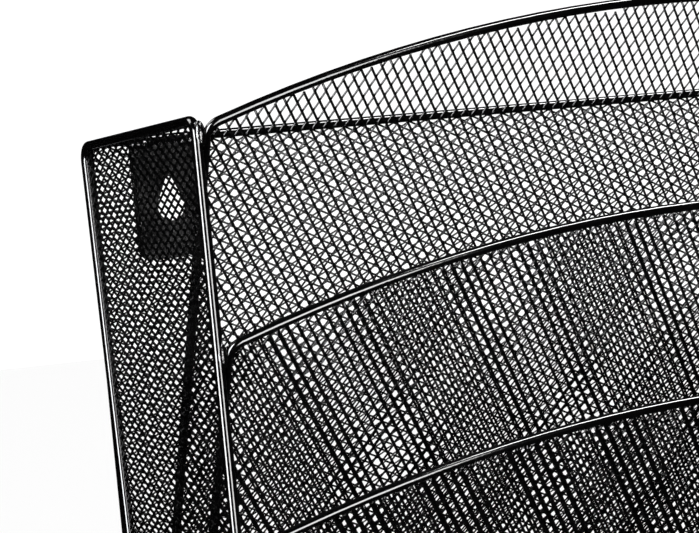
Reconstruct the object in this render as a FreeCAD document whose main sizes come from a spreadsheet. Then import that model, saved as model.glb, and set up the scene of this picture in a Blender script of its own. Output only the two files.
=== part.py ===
import FreeCAD, Part
import math
import os
import Sketcher

# A wall rack of five slanting pockets for files and magazines, welded from bent steel wire and
# expanded steel mesh. X runs along the wall, +Y points into the wall and +Z is up. The wall is
# the plane Y = 0. The origin lies midway between the two places where the nails carry the rack.

doc = FreeCAD.newDocument("WallPocketRack")

# Driving dimensions, in millimetres and degrees.
DRIVING = {
    "rack_width": 310.0,       # between the centres of the two front posts
    "rack_depth": 106.0,       # from the front posts' centres to the back frame's centre
    "tier_pitch": 59.5,        # height from one pocket to the next
    "tier_start": 8.8,         # height of the first evenly spaced joint above the nails
    "lift_first": 1.95,        # how much higher the top pocket sits than even spacing
    "lift_second": -0.8,       # the same for the second pocket
    "lift_third": 0.7,         # the same for the third pocket
    "panel_lean": 27.2,        # lean of every pocket front from upright
    "side_wire": 3.2,          # wire diameter of the side frames
    "back_wire": 3.0,          # wire diameter of the back frame
    "pocket_wire": 2.8,        # wire diameter of the pocket frames
    "back_inset": 1.5,         # back frame's uprights, inboard of the front posts
    "arch_radius": 408.6,      # radius of each pocket's arched top
    "arch_rise": 31.8,         # top of the arch above the joint, along the slope
    "arch_bend": 5.6,          # bends where the arch turns down into the pocket's legs
    "foot_bend": 6.0,          # bends at the pocket's lower corners
    "back_bend": 5.0,          # bends of the back frame
    "side_bend": 5.0,          # bends of the side frames
    "rail_height": 14.0,       # back frame's top rail above the nails
    "front_corner": 14.9,      # side frame's front top corner above the nails
    "rear_corner": 13.1,       # side frame's rear top corner above the nails
    "leg_gap": 3.1,            # from the back frame's centre forward to the side frame's rear leg
    "leg_flare": 0.65,         # how far the rear leg's top stands outboard of the post
    "leg_tuck": 1.6,           # how far the rest of the rear leg stands inboard of the post
    "flare_length": 130.0,     # height over which the rear leg moves inboard
    "post_tail": 12.0,         # length of the front post below the lowest pocket's joint
    "mesh_sheet": 0.8,         # thickness over the mesh's twisted strands
    "mesh_lap": 1.5,           # overlap of the back mesh onto a hanger plate
    "plate_sheet": 1.2,        # thickness of the hanger plates
    "plate_width": 25.0,
    "plate_drop": 25.2,        # lower edge of the hanger plates below the nails
    "plate_bend": 4.0,         # rounding of the plates' lower corners
    "hanger_span": 254.0,      # between the two nails
    "slot_top": 1.5,           # radius of the keyhole's narrow upper end
    "slot_bottom": 4.8,        # radius of the keyhole's wide lower end
    "slot_reach": 8.1,         # between the centres of the keyhole's two ends
    "bead_width": 1.7,         # half width of a weld bead
    "bead_length": 4.0,        # half length of a weld bead
}
TIERS = 5
LIFTED_TIERS = ["Sizes.lift_first", "Sizes.lift_second", "Sizes.lift_third"]

sheet = doc.addObject("Spreadsheet::Sheet", "Sizes")
for row, (alias, value) in enumerate(DRIVING.items(), start=1):
    sheet.set("A%d" % row, alias)
    sheet.set("B%d" % row, str(value))
    sheet.setAlias("B%d" % row, alias)
doc.recompute()

# Expressions that several pieces share.
BACK_PLANE = "(-Sizes.back_wire / 2)"
POST_PLANE = "(-Sizes.back_wire / 2 - Sizes.rack_depth)"
LEG_PLANE = "(-Sizes.back_wire / 2 - Sizes.leg_gap)"
MESH_PLANE = "(-Sizes.plate_sheet - Sizes.mesh_sheet / 2)"
BAR_PLANE = "(-Sizes.plate_sheet - Sizes.mesh_sheet - Sizes.pocket_wire / 2)"
BAR_REACH = "((%s - %s) / sin(Sizes.panel_lean * 1deg))" % (BAR_PLANE, POST_PLANE)
LEG_REACH = "(Sizes.rack_width / 2 - (Sizes.side_wire + Sizes.pocket_wire) / 2)"
LAST_JOINT = "(Sizes.tier_start - %d * Sizes.tier_pitch)" % (TIERS - 1)
POST_END = "(%s - Sizes.post_tail)" % LAST_JOINT
BACK_FOOT = "(%s - (%s - %s) / tan(Sizes.panel_lean * 1deg))" % (LAST_JOINT, BAR_PLANE, POST_PLANE)


def joint_height(tier):
    """Expression for the height at which a pocket meets the front posts."""
    lift = LIFTED_TIERS[tier] if tier < len(LIFTED_TIERS) else "0"
    return "(Sizes.tier_start - %d * Sizes.tier_pitch + %s)" % (tier, lift)


def size(expression):
    """Value of an expression of the sheet's cells, for a first drawing."""
    return float(sheet.evalExpression(expression.replace("Sizes.", "")))


# Geometry helpers. Sketcher numbers the ends and centre of an edge, and its own axes.
START, END, CENTRE = 1, 2, 3
AXES = -1
UPRIGHT_AXIS = -2
UP = FreeCAD.Vector(0, 0, 1)


def run(start, end):
    """Straight edge between two points of a sketch."""
    return Part.LineSegment(FreeCAD.Vector(*start, 0), FreeCAD.Vector(*end, 0))


def bend(centre, radius, first, last):
    """Counterclockwise arc of a sketch between two angles in radians."""
    return Part.ArcOfCircle(Part.Circle(FreeCAD.Vector(*centre, 0), UP, radius), first, last)


def new_body(label):
    body = doc.addObject("PartDesign::Body", label)
    body.Label = label
    return body


def sketch_on(body, role, name):
    """Empty sketch on one of the body's own origin planes."""
    plane = [feature for feature in body.Origin.OriginFeatures if feature.Role == role][0]
    sketch = body.newObject("Sketcher::SketchObject", body.Name + "_" + name)
    sketch.AttachmentSupport = [(plane, "")]
    sketch.MapMode = "FlatFace"
    return sketch


def hold(sketch, kind, *where):
    sketch.addConstraint(Sketcher.Constraint(kind, *where))


def bind(sketch, name, expression, kind, *where):
    """Add a dimension to a sketch and tie it to the sheet."""
    index = sketch.addConstraint(Sketcher.Constraint(kind, *where, size(expression)))
    sketch.renameConstraint(index, name)
    sketch.setExpression("Constraints." + name, expression)


def run_on(sketch, first, last):
    """Make each edge of a numbered stretch meet the next one end to start without a kink."""
    for edge in range(first, last):
        hold(sketch, "Tangent", edge, END, edge + 1, START)


def place(thing, **parts):
    """Tie parts of an object's placement to the sheet, such as x, y, z or the turn."""
    for part, expression in parts.items():
        path = "Placement.Rotation.Angle" if part == "turn" else "Placement.Base." + part
        thing.setExpression(path, expression)


def pad_evenly(body, sketch, thickness):
    """Solid of even thickness on both sides of a sketch."""
    pad = body.newObject("PartDesign::Pad", body.Name + "_pad")
    pad.Profile = sketch
    pad.SideType = "Symmetric"
    pad.setExpression("Length", thickness)
    doc.recompute()
    return pad


def sweep_wire(body, path, diameter, height):
    """Round wire along a closed path that starts on the body's YZ plane."""
    section = sketch_on(body, "YZ_Plane", "section")
    section.addGeometry(Part.Circle(FreeCAD.Vector(0, size(height), 0), UP, size(diameter) / 2))
    hold(section, "PointOnObject", 0, CENTRE, UPRIGHT_AXIS)
    bind(section, "level", height, "DistanceY", AXES, START, 0, CENTRE)
    bind(section, "wire", diameter, "Diameter", 0)
    pipe = body.newObject("PartDesign::AdditivePipe", body.Name + "_pipe")
    pipe.Profile = section
    pipe.Spine = (path, [])
    doc.recompute()
    return pipe


# Pockets.

def draw_pocket_loop(sketch, inset):
    """Arched loop of a pocket, moved inwards from its wire's centre line by an expression.

    The sketch lies in the pocket's sloping plane, with its origin level with the front joints.
    Its edges are half the lower bar, a lower bend, a leg, an upper bend, the arch, and the same
    again down to the middle of the bar.
    """
    foot = size("Sizes.foot_bend - %s" % inset)
    shoulder = size("Sizes.arch_bend - %s" % inset)
    side = size("%s - %s" % (LEG_REACH, inset))
    bar = size("%s - %s" % (inset, BAR_REACH))
    radius = size("Sizes.arch_radius - %s" % inset)
    centre = size("Sizes.arch_rise - Sizes.arch_radius")
    bend_x = side - shoulder
    bend_y = centre + math.sqrt((radius - shoulder) ** 2 - bend_x ** 2)
    turn = math.atan2(bend_y - centre, bend_x)

    sketch.addGeometry(run((0, bar), (side - foot, bar)))
    sketch.addGeometry(bend((side - foot, bar + foot), foot, -math.pi / 2, 0))
    sketch.addGeometry(run((side, bar + foot), (side, bend_y)))
    sketch.addGeometry(bend((bend_x, bend_y), shoulder, 0, turn))
    sketch.addGeometry(bend((0, centre), radius, turn, math.pi - turn))
    sketch.addGeometry(bend((-bend_x, bend_y), shoulder, math.pi - turn, math.pi))
    sketch.addGeometry(run((-side, bend_y), (-side, bar + foot)))
    sketch.addGeometry(bend((foot - side, bar + foot), foot, math.pi, 1.5 * math.pi))
    sketch.addGeometry(run((foot - side, bar), (0, bar)))

    run_on(sketch, 0, 8)
    hold(sketch, "Coincident", 8, END, 0, START)
    hold(sketch, "PointOnObject", 0, START, UPRIGHT_AXIS)
    hold(sketch, "PointOnObject", 4, CENTRE, UPRIGHT_AXIS)
    for level_edge in (0, 8):
        hold(sketch, "Horizontal", level_edge)
    for leg in (2, 6):
        hold(sketch, "Vertical", leg)
    for name, edge in (("right_foot", 1), ("left_foot", 7)):
        bind(sketch, name, "Sizes.foot_bend - %s" % inset, "Radius", edge)
    for name, edge in (("right_shoulder", 3), ("left_shoulder", 5)):
        bind(sketch, name, "Sizes.arch_bend - %s" % inset, "Radius", edge)
    bind(sketch, "arch", "Sizes.arch_radius - %s" % inset, "Radius", 4)
    bind(sketch, "arch_centre", "Sizes.arch_radius - Sizes.arch_rise", "DistanceY", 4, CENTRE, AXES, START)
    bind(sketch, "lower_bar", "%s - %s" % (BAR_REACH, inset), "DistanceY", 0, START, AXES, START)
    bind(sketch, "right_leg", "%s - %s" % (LEG_REACH, inset), "DistanceX", AXES, START, 2, START)
    bind(sketch, "left_leg", "%s - %s" % (LEG_REACH, inset), "DistanceX", 6, START, AXES, START)


def lean_pocket(body, tier):
    """Set a pocket's body in its sloping plane, through the front joints of its tier."""
    body.Placement = FreeCAD.Placement(FreeCAD.Vector(), FreeCAD.Rotation(FreeCAD.Vector(1, 0, 0), 1))
    place(body, y=POST_PLANE, z=joint_height(tier), turn="Sizes.panel_lean * 1deg")


def make_pocket_frame(tier):
    body = new_body("pocket_frame_%d" % (tier + 1))
    path = sketch_on(body, "XZ_Plane", "path")
    draw_pocket_loop(path, "0")
    sweep_wire(body, path, "Sizes.pocket_wire", "-" + BAR_REACH)
    lean_pocket(body, tier)
    return body


def make_pocket_mesh(tier):
    body = new_body("pocket_mesh_%d" % (tier + 1))
    outline = sketch_on(body, "XZ_Plane", "outline")
    draw_pocket_loop(outline, "Sizes.pocket_wire / 2")
    pad_evenly(body, outline, "Sizes.mesh_sheet")
    lean_pocket(body, tier)
    return body


# Back.

def make_back_frame():
    """Rounded rectangle of wire against the wall."""
    body = new_body("back_frame")
    path = sketch_on(body, "XZ_Plane", "path")
    side = size("Sizes.rack_width / 2 - Sizes.back_inset")
    top = size("Sizes.rail_height")
    foot = size(BACK_FOOT)
    turn = size("Sizes.back_bend")
    quarter = math.pi / 2
    path.addGeometry(run((0, foot), (side - turn, foot)))
    path.addGeometry(bend((side - turn, foot + turn), turn, -quarter, 0))
    path.addGeometry(run((side, foot + turn), (side, top - turn)))
    path.addGeometry(bend((side - turn, top - turn), turn, 0, quarter))
    path.addGeometry(run((side - turn, top), (turn - side, top)))
    path.addGeometry(bend((turn - side, top - turn), turn, quarter, 2 * quarter))
    path.addGeometry(run((-side, top - turn), (-side, foot + turn)))
    path.addGeometry(bend((turn - side, foot + turn), turn, 2 * quarter, 3 * quarter))
    path.addGeometry(run((turn - side, foot), (0, foot)))
    run_on(path, 0, 8)
    hold(path, "Coincident", 8, END, 0, START)
    hold(path, "PointOnObject", 0, START, UPRIGHT_AXIS)
    for level_edge in (0, 4, 8):
        hold(path, "Horizontal", level_edge)
    for upright in (2, 6):
        hold(path, "Vertical", upright)
    for corner in (1, 3, 5, 7):
        bind(path, "bend_%d" % corner, "Sizes.back_bend", "Radius", corner)
    bind(path, "bottom", "-" + BACK_FOOT, "DistanceY", 0, START, AXES, START)
    bind(path, "top", "Sizes.rail_height", "DistanceY", AXES, START, 4, START)
    reach = "Sizes.rack_width / 2 - Sizes.back_inset"
    bind(path, "right", reach, "DistanceX", AXES, START, 2, START)
    bind(path, "left", reach, "DistanceX", 6, START, AXES, START)
    sweep_wire(body, path, "Sizes.back_wire", BACK_FOOT)
    place(body, y=BACK_PLANE)
    return body


def draw_box(sketch, first, name, left, right, low, high):
    """Rectangle from four expressions. The first is the number of its first edge."""
    corners = [(left, low), (right, low), (right, high), (left, high)]
    points = [(size(x), size(y)) for x, y in corners]
    for side in range(4):
        sketch.addGeometry(run(points[side], points[(side + 1) % 4]))
    for side in range(4):
        hold(sketch, "Coincident", first + side, END, first + (side + 1) % 4, START)
    for side in (0, 2):
        hold(sketch, "Horizontal", first + side)
        hold(sketch, "Vertical", first + side + 1)
    bind(sketch, name + "_left", left, "DistanceX", AXES, START, first, START)
    bind(sketch, name + "_right", right, "DistanceX", AXES, START, first + 2, START)
    bind(sketch, name + "_low", low, "DistanceY", AXES, START, first, START)
    bind(sketch, name + "_high", high, "DistanceY", AXES, START, first + 2, START)


def round_corners(body, solid, axis, radius):
    """Round the short edges of a sheet that run through its thickness."""
    fillet = body.newObject("PartDesign::Fillet", body.Name + "_corners")
    names = []
    for number, edge in enumerate(solid.Shape.Edges, start=1):
        along = edge.tangentAt(edge.FirstParameter)
        if abs(along.dot(axis)) > 0.999:
            names.append("Edge%d" % number)
    fillet.Base = (solid, names)
    fillet.setExpression("Radius", radius)
    doc.recompute()


def make_back_mesh():
    """Flat mesh inside the back frame, cut away where the hanger plates are."""
    body = new_body("back_mesh")
    outline = sketch_on(body, "XZ_Plane", "outline")
    side = "(Sizes.rack_width / 2 - Sizes.back_inset - Sizes.back_wire / 2)"
    low = "(%s + Sizes.back_wire / 2)" % BACK_FOOT
    high = "(Sizes.rail_height - Sizes.back_wire / 2)"
    draw_box(outline, 0, "mesh", "-" + side, side, low, high)
    pad = pad_evenly(body, outline, "Sizes.mesh_sheet")
    round_corners(body, pad, FreeCAD.Vector(0, 1, 0), "Sizes.back_bend - Sizes.back_wire / 2")

    windows = sketch_on(body, "XZ_Plane", "windows")
    half = "(Sizes.plate_width / 2 - Sizes.mesh_lap)"
    sill = "(Sizes.mesh_lap - Sizes.plate_drop)"
    for number, sign in enumerate(("-", "")):
        middle = sign + "Sizes.hanger_span / 2"
        draw_box(windows, 4 * number, "window_%d" % number, "%s - %s" % (middle, half),
                 "%s + %s" % (middle, half), sill, "%s + Sizes.back_wire" % high)
    solid_before = body.Shape.Volume
    pocket = body.newObject("PartDesign::Pocket", "back_mesh_cut")
    pocket.Profile = windows
    pocket.SideType = "Symmetric"
    pocket.setExpression("Length", "4 * Sizes.mesh_sheet")
    doc.recompute()
    if body.Shape.Volume >= solid_before:
        raise ValueError("the windows cut nothing from the back mesh")
    place(body, y=MESH_PLANE)
    return body


def make_hanger_plate(label, sign):
    """Plate with rounded lower corners and a pear-shaped keyhole, its origin at the nail."""
    body = new_body(label)
    face = sketch_on(body, "XZ_Plane", "face")
    side = size("Sizes.plate_width / 2")
    low = size("-Sizes.plate_drop")
    high = size("Sizes.rail_height - Sizes.back_wire / 2")
    turn = size("Sizes.plate_bend")
    face.addGeometry(run((-side, high), (-side, low + turn)))
    face.addGeometry(bend((turn - side, low + turn), turn, math.pi, 1.5 * math.pi))
    face.addGeometry(run((turn - side, low), (side - turn, low)))
    face.addGeometry(bend((side - turn, low + turn), turn, -math.pi / 2, 0))
    face.addGeometry(run((side, low + turn), (side, high)))
    face.addGeometry(run((side, high), (-side, high)))
    run_on(face, 0, 4)
    hold(face, "Coincident", 4, END, 5, START)
    hold(face, "Coincident", 5, END, 0, START)
    for level_edge in (2, 5):
        hold(face, "Horizontal", level_edge)
    for upright in (0, 4):
        hold(face, "Vertical", upright)
    for corner in (1, 3):
        bind(face, "bend_%d" % corner, "Sizes.plate_bend", "Radius", corner)
    bind(face, "left", "Sizes.plate_width / 2", "DistanceX", 0, START, AXES, START)
    bind(face, "right", "Sizes.plate_width / 2", "DistanceX", AXES, START, 4, START)
    bind(face, "low", "Sizes.plate_drop", "DistanceY", 2, START, AXES, START)
    bind(face, "high", "Sizes.rail_height - Sizes.back_wire / 2", "DistanceY", AXES, START, 5, START)

    narrow = size("Sizes.slot_top")
    wide = size("Sizes.slot_bottom")
    reach = size("Sizes.slot_reach")
    tilt = math.asin((wide - narrow) / reach)
    edge_x, edge_y = math.cos(tilt), math.sin(tilt)
    face.addGeometry(bend((0, 0), narrow, tilt, math.pi - tilt))
    face.addGeometry(run((-narrow * edge_x, narrow * edge_y), (-wide * edge_x, wide * edge_y - reach)))
    face.addGeometry(bend((0, -reach), wide, math.pi - tilt, 2 * math.pi + tilt))
    face.addGeometry(run((wide * edge_x, wide * edge_y - reach), (narrow * edge_x, narrow * edge_y)))
    run_on(face, 6, 9)
    hold(face, "Tangent", 9, END, 6, START)
    hold(face, "Coincident", 6, CENTRE, AXES, START)
    hold(face, "PointOnObject", 8, CENTRE, UPRIGHT_AXIS)
    bind(face, "slot_top", "Sizes.slot_top", "Radius", 6)
    bind(face, "slot_bottom", "Sizes.slot_bottom", "Radius", 8)
    bind(face, "slot_reach", "Sizes.slot_reach", "DistanceY", 8, CENTRE, AXES, START)
    pad_evenly(body, face, "Sizes.plate_sheet")
    place(body, x="%s Sizes.hanger_span / 2" % sign, y="-Sizes.plate_sheet / 2")
    return body


# Sides.

def bent_path(points, radius):
    """Open wire through points: straight runs joined by tangent arcs at the inner points."""
    edges = []
    here = points[0]
    for before, corner, after in zip(points, points[1:], points[2:]):
        back = (before - corner).normalize()
        ahead = (after - corner).normalize()
        half = back.getAngle(ahead) / 2
        cut = radius / math.tan(half)
        middle = corner + (back + ahead).normalize() * (radius / math.sin(half) - radius)
        arc = Part.Arc(corner + back * cut, middle, corner + ahead * cut)
        edges.append(Part.LineSegment(here, arc.StartPoint).toShape())
        edges.append(arc.toShape())
        here = arc.EndPoint
    edges.append(Part.LineSegment(here, points[-1]).toShape())
    return Part.Wire(edges)


def sweep_side_wire(name, points):
    """Length of the side frame's wire whose first run is upright."""
    path = doc.addObject("Part::Feature", name + "_path")
    path.Shape = bent_path(points, size("Sizes.side_bend"))
    section = doc.addObject("Part::Circle", name + "_section")
    section.setExpression("Radius", "Sizes.side_wire / 2")
    section.Placement = FreeCAD.Placement(points[0], FreeCAD.Rotation())
    wire = doc.addObject("Part::Sweep", name)
    wire.Sections = [section]
    wire.Spine = (path, [])
    wire.Solid = True
    return wire


def make_side_frame(label, sign):
    """Bent wire of one side: post, sloping lower run, rear leg and top rail.

    The rear leg isn't quite in the side's plane: its top flares outboard and the rest is tucked
    inboard, so it crosses the back frame's upright. Two lengths meet in the middles of the post
    and the leg.
    """
    post = sign * size("Sizes.rack_width / 2")
    tuck = sign * size("Sizes.rack_width / 2 - Sizes.leg_tuck")
    flare = sign * size("Sizes.rack_width / 2 + Sizes.leg_flare")
    front = size(POST_PLANE)
    rear = size(LEG_PLANE)
    foot = size("%s - (%s - %s) / tan(Sizes.panel_lean * 1deg)" % (POST_END, LEG_PLANE, POST_PLANE))
    knee = size("Sizes.rear_corner - Sizes.flare_length")
    post_top = FreeCAD.Vector(post, front, size("Sizes.front_corner"))
    post_tail = FreeCAD.Vector(post, front, size(POST_END))
    leg_foot = FreeCAD.Vector(tuck, rear, foot)
    leg_knee = FreeCAD.Vector(tuck, rear, knee)
    leg_top = FreeCAD.Vector(flare, rear, size("Sizes.rear_corner"))
    post_middle = (post_top + post_tail) / 2
    leg_middle = (leg_foot + leg_knee) / 2
    frame = doc.addObject("Part::Fuse", label)
    frame.Label = label
    frame.Base = sweep_side_wire(label + "_lower", [post_middle, post_tail, leg_foot, leg_middle])
    frame.Tool = sweep_side_wire(label + "_upper", [leg_middle, leg_knee, leg_top, post_top, post_middle])
    doc.recompute()
    return frame


def make_side_mesh(label, sign):
    """Flat mesh inside a side frame, from the post to the rear leg."""
    body = new_body(label)
    outline = sketch_on(body, "YZ_Plane", "outline")
    half = "Sizes.side_wire / 2"
    front = "(%s + %s)" % (POST_PLANE, half)
    rear = "(%s - %s)" % (LEG_PLANE, half)
    # The sloping lower run's centre line, raised by half the wire square to the slope.
    slope = "(%s + %s / sin(Sizes.panel_lean * 1deg) - (%%s - %s) / tan(Sizes.panel_lean * 1deg))" % (
        POST_END, half, POST_PLANE)
    heights = {
        "front_low": slope % front,
        "rear_low": slope % rear,
        "rear_high": "(Sizes.rear_corner - %s)" % half,
        "front_high": "(Sizes.front_corner - %s)" % half,
    }
    reaches = [front, rear, rear, front]
    points = [(size(reach), size(height)) for reach, height in zip(reaches, heights.values())]
    for side in range(4):
        outline.addGeometry(run(points[side], points[(side + 1) % 4]))
    for side, (name, height) in enumerate(heights.items()):
        hold(outline, "Coincident", side, END, (side + 1) % 4, START)
        bind(outline, name, height, "DistanceY", AXES, START, side, START)
    hold(outline, "Vertical", 1)
    hold(outline, "Vertical", 3)
    bind(outline, "front", front, "DistanceX", AXES, START, 3, START)
    bind(outline, "rear", rear, "DistanceX", AXES, START, 1, START)
    pad = pad_evenly(body, outline, "Sizes.mesh_sheet")
    round_corners(body, pad, FreeCAD.Vector(1, 0, 0), "Sizes.side_bend - Sizes.side_wire / 2")
    place(body, x="%s Sizes.rack_width / 2" % sign)
    return body


# Welds. The like beads of one side are one node, as separate solids.

def make_bead(name, x, y, z, upright=True):
    """Long bead of weld metal, upright or lying along X."""
    bead = doc.addObject("Part::Ellipsoid", name)
    upright_radius, across_radius = "Sizes.bead_length", "Sizes.bead_width"
    if not upright:
        upright_radius, across_radius = across_radius, upright_radius
    bead.setExpression("Radius1", upright_radius)
    bead.setExpression("Radius2", across_radius)
    bead.setExpression("Radius3", "Sizes.bead_width")
    place(bead, x=x, y=y, z=z)
    return bead


def gather(label, beads):
    group = doc.addObject("Part::Compound", label)
    group.Label = label
    group.Links = beads
    doc.recompute()
    return group


def make_post_welds(label, sign):
    """Beads that fill the groove between a front post and the pockets' upper bends."""
    x = "%s (Sizes.rack_width / 2 - Sizes.side_wire / 4)" % sign
    y = "%s - Sizes.pocket_wire / 6" % POST_PLANE
    return gather(label, [
        make_bead("%s_%d" % (label, tier + 1), x, y, joint_height(tier)) for tier in range(TIERS)
    ])


def make_foot_welds(label, sign):
    """Beads where the feet of the pockets' legs lie against the side frame's rear leg."""
    x = "%s (Sizes.rack_width / 2 - Sizes.leg_tuck - Sizes.side_wire / 2)" % sign
    y = "(%s - Sizes.pocket_wire / 3)" % LEG_PLANE
    drop = "(%s - %s) / tan(Sizes.panel_lean * 1deg)" % (y, POST_PLANE)
    return gather(label, [
        make_bead("%s_%d" % (label, tier + 1), x, y, "%s - %s" % (joint_height(tier), drop))
        for tier in range(TIERS)
    ])


def make_hanger_welds():
    """Beads that hold the hanger plates' top edges under the back frame's rail, clear of the wall."""
    beads = []
    y = "%s - Sizes.bead_width / 4" % BACK_PLANE
    z = "Sizes.rail_height - Sizes.back_wire / 2"
    for side, sign in (("left", "-"), ("right", "")):
        for end, step in (("outer", "-"), ("inner", "+")):
            x = "%s Sizes.hanger_span / 2 %s Sizes.plate_width / 3" % (sign, step)
            beads.append(make_bead("hanger_weld_%s_%s" % (side, end), x, y, z, upright=False))
    return gather("hanger_welds", beads)


nodes = []
for side_name, sign_text, sign_value in (("left", "-", -1), ("right", "", 1)):
    nodes.append(make_side_frame("side_frame_" + side_name, sign_value))
    nodes.append(make_side_mesh("side_mesh_" + side_name, sign_text))
    nodes.append(make_hanger_plate("hanger_plate_" + side_name, sign_text))
    nodes.append(make_post_welds("post_welds_" + side_name, sign_text))
    nodes.append(make_foot_welds("foot_welds_" + side_name, sign_text))
for pocket_tier in range(TIERS):
    nodes.append(make_pocket_frame(pocket_tier))
    nodes.append(make_pocket_mesh(pocket_tier))
nodes.append(make_back_frame())
nodes.append(make_back_mesh())
nodes.append(make_hanger_welds())
doc.recompute()

for thing in doc.Objects:
    if "Invalid" in thing.State or "Error" in thing.State:
        raise ValueError("%s is %s" % (thing.Label, thing.State))

os.makedirs("parts", exist_ok=True)
for node in nodes:
    shape = node.Shape
    if shape.isNull() or not shape.isValid() or not shape.Solids:
        raise ValueError(node.Label + " has no valid solid")
    shape.exportStep("parts/%s.step" % node.Label)
    print("%-20s solids %2d  volume %9.1f mm3  z %.1f to %.1f" % (
        node.Label, len(shape.Solids), shape.Volume, shape.BoundBox.ZMin, shape.BoundBox.ZMax))
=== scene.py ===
import math
import bpy
import numpy as np
from mathutils import Matrix, Vector


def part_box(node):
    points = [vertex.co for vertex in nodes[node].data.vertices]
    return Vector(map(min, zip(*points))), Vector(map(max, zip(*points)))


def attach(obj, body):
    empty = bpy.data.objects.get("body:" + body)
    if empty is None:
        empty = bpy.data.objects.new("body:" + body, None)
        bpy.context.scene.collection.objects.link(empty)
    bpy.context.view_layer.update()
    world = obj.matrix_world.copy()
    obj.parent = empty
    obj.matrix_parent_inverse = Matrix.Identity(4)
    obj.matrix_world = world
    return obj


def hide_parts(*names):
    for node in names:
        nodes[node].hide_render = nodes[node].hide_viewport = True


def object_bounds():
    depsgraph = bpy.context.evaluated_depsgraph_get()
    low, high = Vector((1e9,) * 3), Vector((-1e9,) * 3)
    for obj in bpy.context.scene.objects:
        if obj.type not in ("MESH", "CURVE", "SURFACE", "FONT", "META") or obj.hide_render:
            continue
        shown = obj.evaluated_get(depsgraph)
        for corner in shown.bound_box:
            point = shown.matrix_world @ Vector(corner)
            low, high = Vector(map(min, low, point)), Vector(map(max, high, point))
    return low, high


# A wall rack of five slanting pockets in bent steel wire and expanded steel mesh, painted
# gloss black. Units are metres: X runs along the wall, +Y points into the wall and +Z is up.

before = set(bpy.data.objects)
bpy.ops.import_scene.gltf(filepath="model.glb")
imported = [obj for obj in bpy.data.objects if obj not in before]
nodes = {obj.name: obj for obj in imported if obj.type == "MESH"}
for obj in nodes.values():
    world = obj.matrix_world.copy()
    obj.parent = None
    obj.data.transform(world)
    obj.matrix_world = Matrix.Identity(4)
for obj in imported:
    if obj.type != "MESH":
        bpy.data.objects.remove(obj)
cad_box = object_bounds()

# The mesh's diamond, from bond to bond.
DIAMOND_LONG = 0.0060              # long way of a diamond
DIAMOND_SHORT = 0.0034             # short way of a diamond
BOND_LENGTH = 0.00040              # how far two strands run side by side where they meet

# Width and thickness of the strands, with their paint.
POCKET_STRAND = (0.00060, 0.00056)
SIDE_STRAND = (0.00058, 0.00054)
BACK_STRAND = (0.00052, 0.00048)

# How far the stretching turned the strands out of their sheet. The two sides mirror each other.
POCKET_TILT = math.radians(-50.0)
BACK_TILT = math.radians(25.0)
LEFT_SIDE_TILT = math.radians(-18.0)

# How far the mesh runs past its plain panel, so that it ends inside the wire.
SIDE_LAP_SHARE = 0.008             # as a share of the side's depth
BACK_LAP = 0.001

# The pockets, in their own sloping plane.
PANEL_LEAN = math.radians(27.2)    # lean of a pocket's front from upright
ARCH_RADIUS = 0.4086               # radius of a pocket's arched top
POCKET_COUNT = 5

# The rear legs of the sides, against their front posts.
LEG_FLARE = 0.00065                # how far a leg's top stands outside the post
LEG_TUCK = 0.00160                 # how far its straight lower part stands inside the post
LEG_STRAIGHT = -0.117              # height under which the leg is straight

# The paint's colours.
COOL_BLACK = (0.0008, 0.0008, 0.0010, 1.0)
WARM_BLACK = (0.0022, 0.0021, 0.0020, 1.0)
SCUFFED_BLACK = (0.012, 0.0115, 0.011, 1.0)

# The studio and the camera. Turn, dip and roll aim the camera from its place.
FLOOR_RADIUS = 6.0
FLOOR_GAP = 0.0005                 # how far the floor lies under the rack
FLOOR_WHITE = (0.92, 0.92, 0.92, 1.0)
WHITE_STRENGTH = 1.1               # brightness of the room to the eye
GLOSS_BLACK = (0.002, 0.002, 0.0022, 1.0)  # the room as the gloss mirrors it
CAMERA_PLACE = (-0.37728, -0.71503, -0.00824)
CAMERA_TURN = math.radians(23.550)
CAMERA_DIP = math.radians(1.921)
CAMERA_ROLL = math.radians(5.539)
CAMERA_LENS = 119.01               # in millimetres, as is the sensor's width
CAMERA_SENSOR = 36.0


# Shapes

def fill_mesh(name, points, quads):
    """A mesh object from corner points and faces of four corners, both whole arrays."""
    used, quads = np.unique(quads, return_inverse=True)
    points = points[used]
    quads = quads.reshape(-1, 4)
    data = bpy.data.meshes.new(name)
    data.vertices.add(len(points))
    data.vertices.foreach_set("co", points.ravel())
    data.loops.add(quads.size)
    data.loops.foreach_set("vertex_index", quads.ravel().astype(np.int32))
    data.polygons.add(len(quads))
    data.polygons.foreach_set("loop_start", np.arange(0, quads.size, 4, dtype=np.int32))
    data.polygons.foreach_set("use_smooth", np.ones(len(quads), dtype=bool))
    data.update(calc_edges=True)
    piece = bpy.data.objects.new(name, data)
    bpy.context.scene.collection.objects.link(piece)
    return piece


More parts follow.
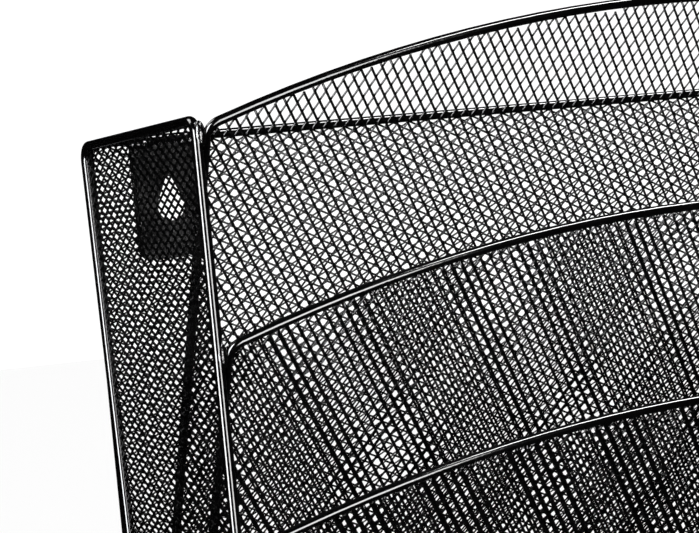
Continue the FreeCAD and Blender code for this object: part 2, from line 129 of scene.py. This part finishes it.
def expanded_mesh(name, origin, across, along, strand, tilt, reach, inside, strips=None, warp=None):
    """Strands of stretched steel mesh in a flat panel.

    The sheet is rows of zigzag strips that run along the diamonds' long way. Strip number k has
    its middle k half-diamonds across. At bond number j it stands to one side if k + j is even and
    to the other if it is odd. Those two places are half a diamond less one strand's width apart,
    the width taken times the cosine of the tilt. The strip also stands half its width times the
    tilt's sine out of the sheet there, so that it lies edge to edge with its neighbour, and it
    runs straight for a bond's length. Its section is a rectangle turned by the tilt about the
    long way, mitred at each change of direction. Only the lengths of strip whose middle is inside
    the panel are kept, each closed at its ends.

    strand is a strip's width and thickness. reach is the panel's lowest and highest place across
    and along. inside tells whether places across and along are in the panel. strips, as (part,
    parts), makes only that share of the strips. warp bends the finished points.
    """
    across, along = np.array(across), np.array(along)
    out = np.cross(across, along)
    width, thickness = strand
    pitch = DIAMOND_SHORT / 2
    half_long = DIAMOND_LONG / 2
    (low_across, high_across), (low_along, high_along) = reach
    first, last = math.floor(low_across / pitch), math.ceil(high_across / pitch) + 1
    part, parts = strips or (0, 1)
    count = last - first
    strip = np.arange(first + count * part // parts, first + count * (part + 1) // parts)
    bond = np.arange(math.floor(low_along / half_long) - 1, math.ceil(high_along / half_long) + 2)
    strip = strip[:, None, None, None]
    bond = bond[None, :, None, None]
    end = np.array([-1.0, 1.0])[None, None, :, None]
    side = np.array([1.0, -1.0, -1.0, 1.0])
    face = np.array([1.0, 1.0, -1.0, -1.0])

    swing = 1.0 - 2.0 * ((strip + bond) % 2)
    step = pitch - width * math.cos(tilt)
    slant = math.atan2(step, half_long - BOND_LENGTH)
    mitre = end * swing * math.tan(slant / 2)
    half_width = side * width / 2
    half_thick = face * thickness / 2
    a = strip * pitch + swing * step / 2 + half_width * math.cos(tilt) - half_thick * math.sin(tilt)
    b = bond * half_long + end * BOND_LENGTH / 2 + half_width * mitre
    n = half_width * math.sin(tilt) + half_thick * math.cos(tilt) - swing * width / 2 * math.sin(tilt)
    a, b, n = np.broadcast_arrays(a, b, n)
    rows, rings = a.shape[0], a.shape[1] * 2
    a, b, n = (value.reshape(rows, rings, 4) for value in (a, b, n))
    points = np.array(origin) + a[..., None] * across + b[..., None] * along + n[..., None] * out
    if warp:
        points = warp(points)

    middle_a = (a[:, :-1] + a[:, 1:]).mean(axis=2) / 2
    middle_b = (b[:, :-1] + b[:, 1:]).mean(axis=2) / 2
    kept = inside(middle_a, middle_b)
    number = np.arange(rows * rings * 4).reshape(rows, rings, 4)
    turned = np.roll(number, -1, axis=2)
    walls = np.stack([number[:, :-1], number[:, 1:], turned[:, 1:], turned[:, :-1]], axis=-1)[kept]
    gap = np.zeros((rows, 1), dtype=bool)
    after = np.hstack([kept, gap])
    before = np.hstack([gap, kept])
    starts = number[after & ~before]
    stops = number[before & ~after][:, ::-1]
    return fill_mesh(name, points.reshape(-1, 3), np.vstack([walls.reshape(-1, 4), starts, stops]))


def finish_mesh(piece, node):
    """Paint a mesh piece and put it on the rack in place of its plain panel."""
    piece.data.materials.append(STRAND)
    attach(piece, "root")
    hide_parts(node)


# Finishes

def feed(tree, socket, value):
    """Give a socket a number or a colour, or link another node's output to it."""
    if isinstance(value, bpy.types.NodeSocket):
        tree.links.new(value, socket)
    else:
        socket.default_value = value


def noise(tree, place, scale, detail):
    """Output of a noise texture of that scale, per metre, on the place given."""
    texture = tree.nodes.new("ShaderNodeTexNoise")
    for name, value in (("Scale", scale), ("Detail", detail), ("Vector", place)):
        feed(tree, texture.inputs[name], value)
    return texture.outputs["Fac"]


def between(tree, value, low, high, to_low, to_high):
    """A value from one range stretched to another, held at its ends."""
    stretch = tree.nodes.new("ShaderNodeMapRange")
    ends = (("From Min", low), ("From Max", high), ("To Min", to_low), ("To Max", to_high))
    for name, source in (("Value", value),) + ends:
        feed(tree, stretch.inputs[name], source)
    return stretch.outputs["Result"]


def combine(tree, operation, first, second):
    """Two values added or multiplied, held from 0 to 1."""
    maths = tree.nodes.new("ShaderNodeMath")
    maths.operation = operation
    maths.use_clamp = True
    feed(tree, maths.inputs[0], first)
    feed(tree, maths.inputs[1], second)
    return maths.outputs["Value"]


def blend(tree, share, first, second):
    """The first colour turned into the second by that share."""
    mix = tree.nodes.new("ShaderNodeMix")
    mix.data_type = "RGBA"
    for name, value in (("Factor", share), ("A", first), ("B", second)):
        feed(tree, mix.inputs[name], value)
    return mix.outputs["Result"]


def build_paint_group():
    """Gloss black paint baked on steel: its colour, roughness and the height of its skin."""
    tree = bpy.data.node_groups.new("baked_black_paint", "ShaderNodeTree")
    for name, value in (("Ripple Scale", 900.0), ("Smooth", 0.12), ("Dull", 0.3), ("Wear", 0.1)):
        socket = tree.interface.new_socket(name, in_out="INPUT", socket_type="NodeSocketFloat")
        socket.default_value = value
    tree.interface.new_socket("Colour", in_out="OUTPUT", socket_type="NodeSocketColor")
    tree.interface.new_socket("Roughness", in_out="OUTPUT", socket_type="NodeSocketFloat")
    tree.interface.new_socket("Height", in_out="OUTPUT", socket_type="NodeSocketFloat")
    given = tree.nodes.new("NodeGroupInput")
    made = tree.nodes.new("NodeGroupOutput")
    place = tree.nodes.new("ShaderNodeTexCoord").outputs["Object"]

    clouds = noise(tree, place, scale=60.0, detail=3.0)
    film = between(tree, clouds, low=0.35, high=0.65,
                   to_low=given.outputs["Smooth"], to_high=given.outputs["Dull"])
    specks = noise(tree, place, scale=2400.0, detail=2.0)
    scuffs = between(tree, specks, low=0.66, high=0.74, to_low=0.0, to_high=1.0)
    worn = combine(tree, "MULTIPLY", scuffs, given.outputs["Wear"])
    rough = combine(tree, "ADD", film, worn)
    tint = blend(tree, clouds, COOL_BLACK, WARM_BLACK)
    colour = blend(tree, worn, tint, SCUFFED_BLACK)
    ripples = noise(tree, place, given.outputs["Ripple Scale"], detail=2.0)
    for name, value in (("Colour", colour), ("Roughness", rough), ("Height", ripples)):
        tree.links.new(value, made.inputs[name])
    return tree


PAINT = build_paint_group()


def painted(name, ripple_scale, smooth, dull, wear, ripple_height):
    """A black paint finish. The ripple height is in metres."""
    material = bpy.data.materials.new(name)
    material.use_nodes = True
    tree = material.node_tree
    shader = tree.nodes["Principled BSDF"]
    paint = tree.nodes.new("ShaderNodeGroup")
    paint.node_tree = PAINT
    chosen = (("Ripple Scale", ripple_scale), ("Smooth", smooth), ("Dull", dull), ("Wear", wear))
    for socket, value in chosen:
        paint.inputs[socket].default_value = value
    bump = tree.nodes.new("ShaderNodeBump")
    bump.inputs["Distance"].default_value = ripple_height
    tree.links.new(paint.outputs["Height"], bump.inputs["Height"])
    tree.links.new(bump.outputs["Normal"], shader.inputs["Normal"])
    tree.links.new(paint.outputs["Colour"], shader.inputs["Base Color"])
    tree.links.new(paint.outputs["Roughness"], shader.inputs["Roughness"])
    return material


WIRE = painted("wire_gloss_black", ripple_scale=700.0, smooth=0.07, dull=0.13, wear=0.06,
               ripple_height=0.00003)
STRAND = painted("mesh_strand_black", ripple_scale=1500.0, smooth=0.09, dull=0.16, wear=0.08,
                 ripple_height=0.00001)
PLATE = painted("hanger_plate_black", ripple_scale=1100.0, smooth=0.12, dull=0.20, wear=0.10,
                ripple_height=0.00004)
BEAD = painted("weld_bead_black", ripple_scale=1600.0, smooth=0.08, dull=0.18, wear=0.10,
               ripple_height=0.00010)

for name, node in nodes.items():
    finish = WIRE
    if name.startswith("hanger_plate"):
        finish = PLATE
    elif "welds" in name:
        finish = BEAD
    for slot in node.material_slots:
        slot.material = finish


# Mesh panels

def make_pocket_panel(number):
    """Mesh of one pocket, its diamonds standing up the slope, in two halves."""
    node = "pocket_mesh_%d" % number
    wire_low, wire_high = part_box("pocket_frame_%d" % number)
    low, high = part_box(node)
    slope = (0.0, -math.sin(PANEL_LEAN), math.cos(PANEL_LEAN))
    # The mesh ends halfway between the panel's edge and the wire's outer edge.
    half = ((wire_high[0] - wire_low[0]) + (high[0] - low[0])) / 4
    length = (high[2] - low[2]) / math.cos(PANEL_LEAN)
    foot = ((wire_low[0] + wire_high[0]) / 2, high[1], low[2])
    top_centre = length - ARCH_RADIUS
    halves = ("left", "right")

    def inside(a, b):
        arch = top_centre + np.sqrt(ARCH_RADIUS ** 2 - np.minimum(abs(a), half) ** 2)
        return (abs(a) < half) & (b > 0) & (b < arch)

    for part, half_name in enumerate(halves):
        piece = expanded_mesh("%s_%s" % (node, half_name), foot, (1.0, 0.0, 0.0), slope,
                              POCKET_STRAND, POCKET_TILT, ((-half, half), (0.0, length)),
                              inside, strips=(part, len(halves)))
        finish_mesh(piece, node)


def make_side_panel(node, tilt):
    """Mesh of one side, its diamonds lying level, cut off along the lowest pocket's slope."""
    low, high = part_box(node)
    lap = (high[1] - low[1]) * SIDE_LAP_SHARE
    front, rear = low[1] - lap, high[1] + lap
    middle = (low[0] + high[0]) / 2
    rise = 1.0 / math.tan(PANEL_LEAN)
    panel = nodes[node]
    outline = np.array([panel.matrix_world @ vertex.co for vertex in panel.data.vertices])
    sole = (outline[:, 2] + outline[:, 1] * rise).min()

    def inside(a, b):
        return (a > sole - b * rise - lap) & (a < high[2] + lap) & (b > front) & (b < rear)

    def follow_leg(points):
        """Lean the sheet to meet the rear leg, whose top flares out and whose foot tucks in."""
        outward = np.sign(middle)
        leg = np.clip((points[..., 2] - LEG_STRAIGHT) / (high[2] - LEG_STRAIGHT), 0.0, 1.0)
        reach = np.clip((points[..., 1] - low[1]) / (high[1] - low[1]), 0.0, 1.0)
        points[..., 0] += outward * reach * (leg * (LEG_FLARE + LEG_TUCK) - LEG_TUCK)
        return points

    piece = expanded_mesh(node + "_strands", (middle, 0.0, 0.0), (0.0, 0.0, 1.0), (0.0, 1.0, 0.0),
                          SIDE_STRAND, tilt, ((low[2], high[2]), (front, rear)),
                          inside, warp=follow_leg)
    finish_mesh(piece, node)


def make_back_panel():
    """Mesh of the back, its diamonds lying level, in three bands, open behind the hanger plates."""
    low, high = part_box("back_mesh")
    plates = [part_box(name) for name in nodes if name.startswith("hanger_plate")]
    level = (low[1] + high[1]) / 2
    bands = ("lower", "middle", "upper")

    def inside(a, b):
        kept = (a > low[2] - BACK_LAP) & (a < high[2] + BACK_LAP)
        kept &= (b > low[0] - BACK_LAP) & (b < high[0] + BACK_LAP)
        for plate_low, plate_high in plates:
            centre = (plate_low[0] + plate_high[0]) / 2
            half = (plate_high[0] - plate_low[0]) / 2
            kept &= (abs(b - centre) >= half - BACK_LAP) | (a <= plate_low[2] + BACK_LAP)
        return kept

    for part, band in enumerate(bands):
        piece = expanded_mesh("back_mesh_" + band, (0.0, level, 0.0), (0.0, 0.0, 1.0), (1.0, 0.0, 0.0),
                              BACK_STRAND, BACK_TILT, ((low[2], high[2]), (low[0], high[0])),
                              inside, strips=(part, len(bands)))
        finish_mesh(piece, "back_mesh")


for number in range(1, POCKET_COUNT + 1):
    make_pocket_panel(number)
make_side_panel("side_mesh_left", LEFT_SIDE_TILT)
make_side_panel("side_mesh_right", -LEFT_SIDE_TILT)
make_back_panel()


# Floor, light and camera

def softbox(name, azimuth, elevation, distance, width, height, strength, aim, colour=(1.0, 1.0, 1.0)):
    """Rectangular light round the aim point, seen in gloss only.

    Azimuth is in degrees, 0 in front and 90 on the left. Strength is watts per square metre.
    """
    light = bpy.data.lights.new(name, "AREA")
    light.shape = "RECTANGLE"
    light.size, light.size_y = width, height
    light.energy = strength * width * height
    light.color = colour
    lamp = bpy.data.objects.new(name, light)
    bpy.context.scene.collection.objects.link(lamp)
    turn, rise = math.radians(azimuth), math.radians(elevation)
    away = Vector((-math.sin(turn) * math.cos(rise), -math.cos(turn) * math.cos(rise), math.sin(rise)))
    lamp.location = aim + away * distance
    lamp.rotation_mode = "QUATERNION"
    lamp.rotation_quaternion = (-away).to_track_quat("-Z", "Y")
    lamp.visible_camera = False
    lamp.visible_diffuse = False


def make_floor():
    """Round pale floor just under the rack, shown to the eye but not mirrored in the paint."""
    bpy.ops.mesh.primitive_circle_add(vertices=96, radius=FLOOR_RADIUS, fill_type="NGON",
                                      location=(0.0, 0.0, cad_box[0][2] - FLOOR_GAP))
    floor = bpy.context.object
    floor.name = "floor"
    material = bpy.data.materials.new("floor_white")
    material.use_nodes = True
    shader = material.node_tree.nodes["Principled BSDF"]
    shader.inputs["Base Color"].default_value = FLOOR_WHITE
    shader.inputs["Roughness"].default_value = 0.9
    shader.inputs["Specular IOR Level"].default_value = 0.1
    floor.data.materials.append(material)
    floor.visible_glossy = False


def make_surroundings():
    """White room to the eye, and dark to the gloss, so that the paint mirrors only the softboxes."""
    world = bpy.data.worlds.new("studio")
    bpy.context.scene.world = world
    world.use_nodes = True
    tree = world.node_tree
    white = tree.nodes["Background"]
    white.inputs["Color"].default_value = (1.0, 1.0, 1.0, 1.0)
    white.inputs["Strength"].default_value = WHITE_STRENGTH
    dark = tree.nodes.new("ShaderNodeBackground")
    dark.inputs["Color"].default_value = GLOSS_BLACK
    path = tree.nodes.new("ShaderNodeLightPath")
    mix = tree.nodes.new("ShaderNodeMixShader")
    tree.links.new(path.outputs["Is Glossy Ray"], mix.inputs["Fac"])
    tree.links.new(white.outputs["Background"], mix.inputs[1])
    tree.links.new(dark.outputs["Background"], mix.inputs[2])
    tree.links.new(mix.outputs["Shader"], tree.nodes["World Output"].inputs["Surface"])


def make_camera():
    """Camera off the rack's left front, turned to the right, a little down and rolled."""
    level = Vector((math.cos(CAMERA_TURN), -math.sin(CAMERA_TURN), 0.0))
    ahead = Vector((math.sin(CAMERA_TURN) * math.cos(CAMERA_DIP),
                    math.cos(CAMERA_TURN) * math.cos(CAMERA_DIP),
                    -math.sin(CAMERA_DIP)))
    down = ahead.cross(level)
    right = level * math.cos(CAMERA_ROLL) + down * math.sin(CAMERA_ROLL)
    below = down * math.cos(CAMERA_ROLL) - level * math.sin(CAMERA_ROLL)
    camera_data = bpy.data.cameras.new("camera")
    camera_data.sensor_width = CAMERA_SENSOR
    camera_data.lens = CAMERA_LENS
    camera_data.clip_start = 0.01
    camera = bpy.data.objects.new("camera", camera_data)
    bpy.context.scene.collection.objects.link(camera)
    place = Matrix((right, -below, -ahead)).transposed().to_4x4()
    place.translation = Vector(CAMERA_PLACE)
    camera.matrix_world = place
    bpy.context.scene.camera = camera


make_floor()
make_surroundings()
post_joint = Vector((cad_box[0][0], cad_box[0][1], 0.0))
softbox("left_softbox", azimuth=70.0, elevation=0.0, distance=0.36, width=0.165, height=0.55,
        strength=110.0, aim=post_joint, colour=(0.97, 0.98, 1.0))
softbox("front_softbox", azimuth=-3.0, elevation=-3.0, distance=1.6, width=0.68, height=1.0,
        strength=60.0, aim=post_joint)
softbox("right_softbox", azimuth=-50.0, elevation=55.0, distance=1.5, width=1.3, height=0.22,
        strength=160.0, aim=post_joint)
softbox("rim_softbox", azimuth=135.0, elevation=48.0, distance=1.3, width=0.6, height=0.6,
        strength=28.0, aim=post_joint)
make_camera()

scene = bpy.context.scene
scene.view_settings.view_transform = "Standard"
scene.view_settings.look = "None"
